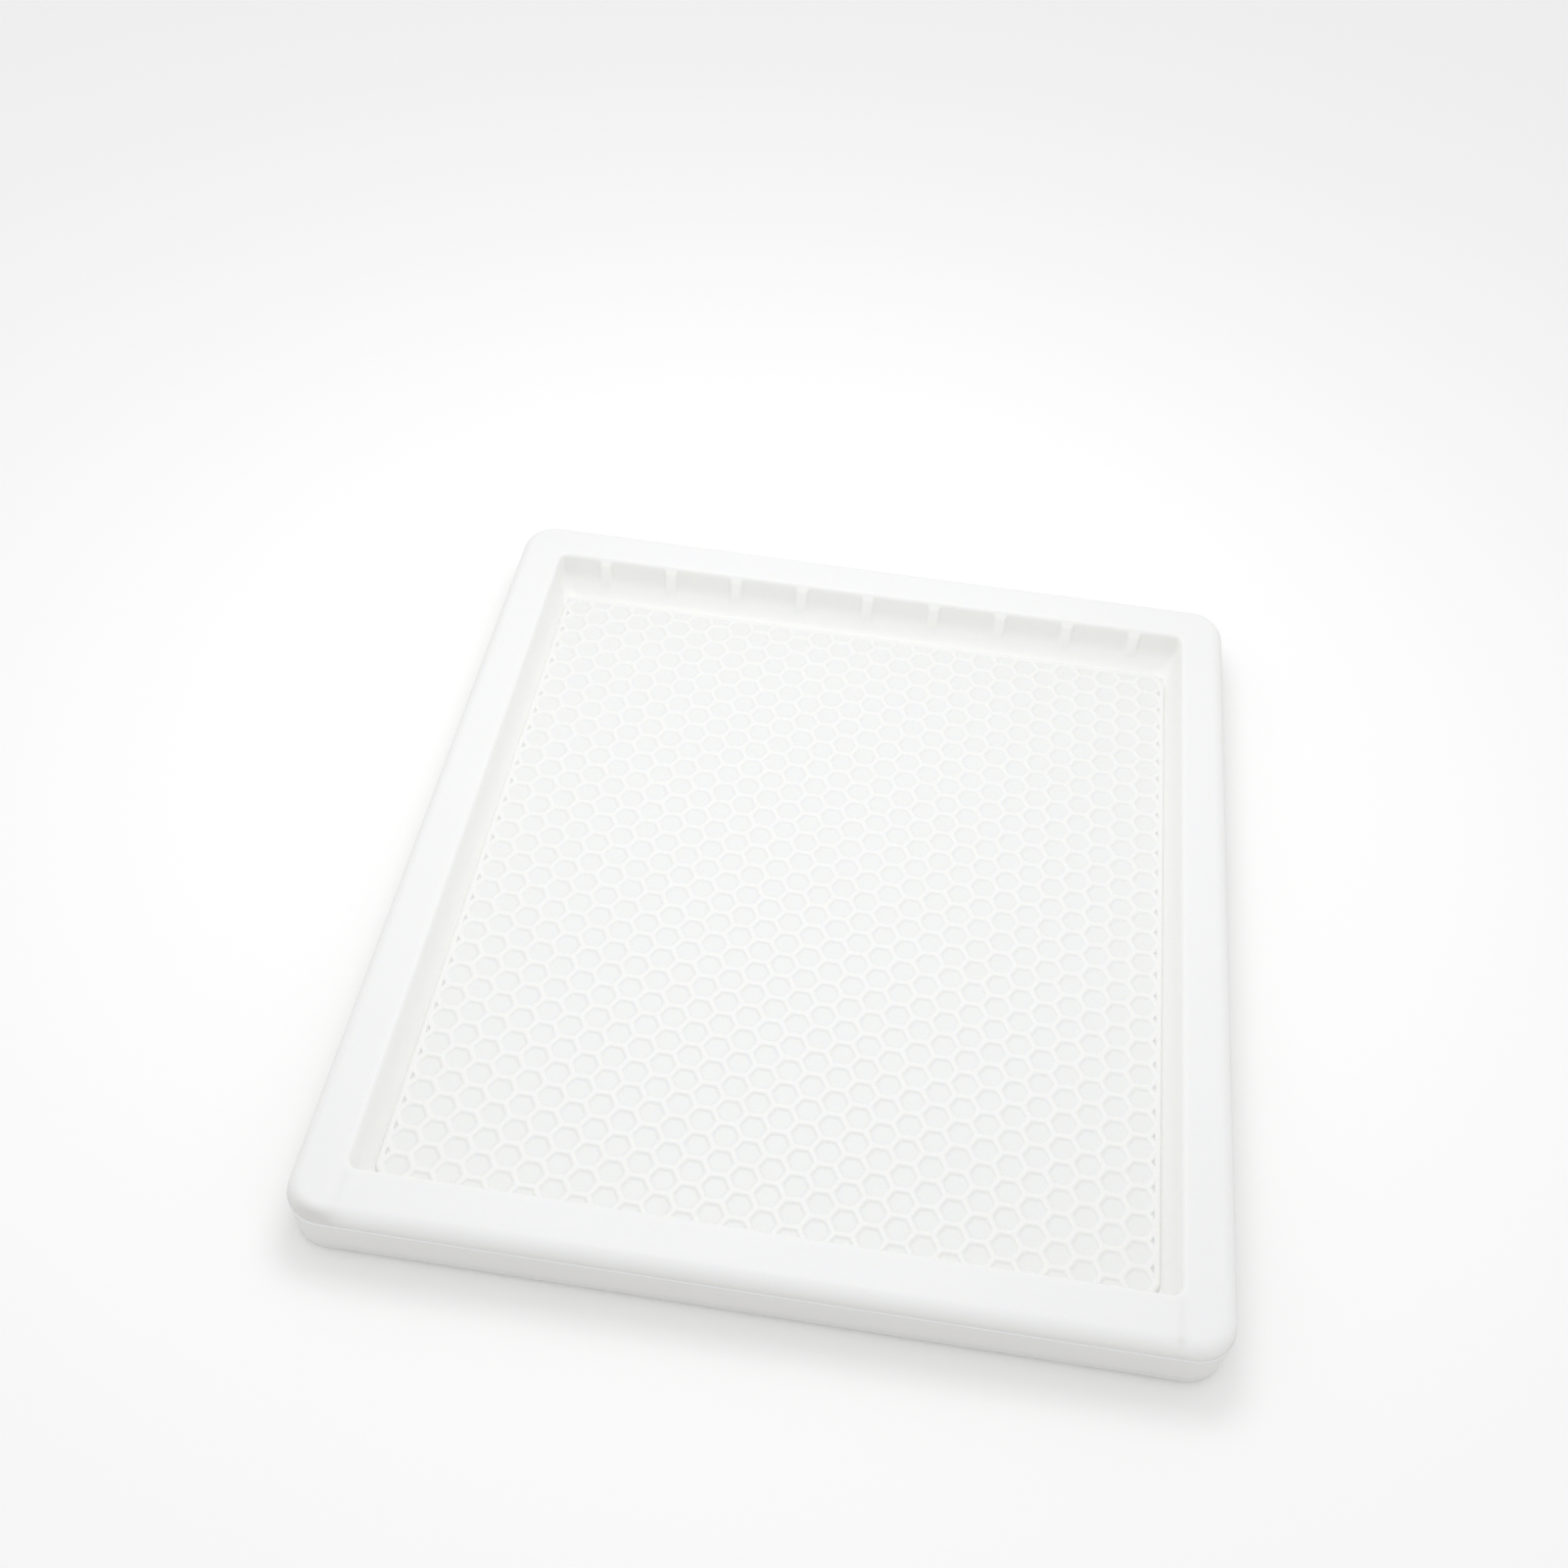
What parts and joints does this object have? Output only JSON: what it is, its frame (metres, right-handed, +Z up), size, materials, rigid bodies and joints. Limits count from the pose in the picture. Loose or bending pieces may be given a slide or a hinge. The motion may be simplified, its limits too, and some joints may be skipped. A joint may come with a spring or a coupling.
{
  "type": "beehive cover",
  "caption": "Rectangular double-walled moulded hive cover lying on its back: rolled rim, ribbed end walls, a moat and a raised honeycomb panel.",
  "frame": {"origin": "centre of the flat underside that the cover lies on, which is its weather side", "axes": "+X along the short side, +Y along the long side, +Z up out of the open, hive side"},
  "size_m": [0.498, 0.572, 0.038],
  "materials": {
    "shell_outer": "satin white polypropylene, weather side",
    "shell_inner": "satin white polypropylene, hive side",
    "foam": "pale yellow rigid foam"
  },
  "bodies": {
    "root": {"outer_shell": "shell_outer", "inner_shell": "shell_inner", "foam_core": "foam"}
  },
  "joints": []
}
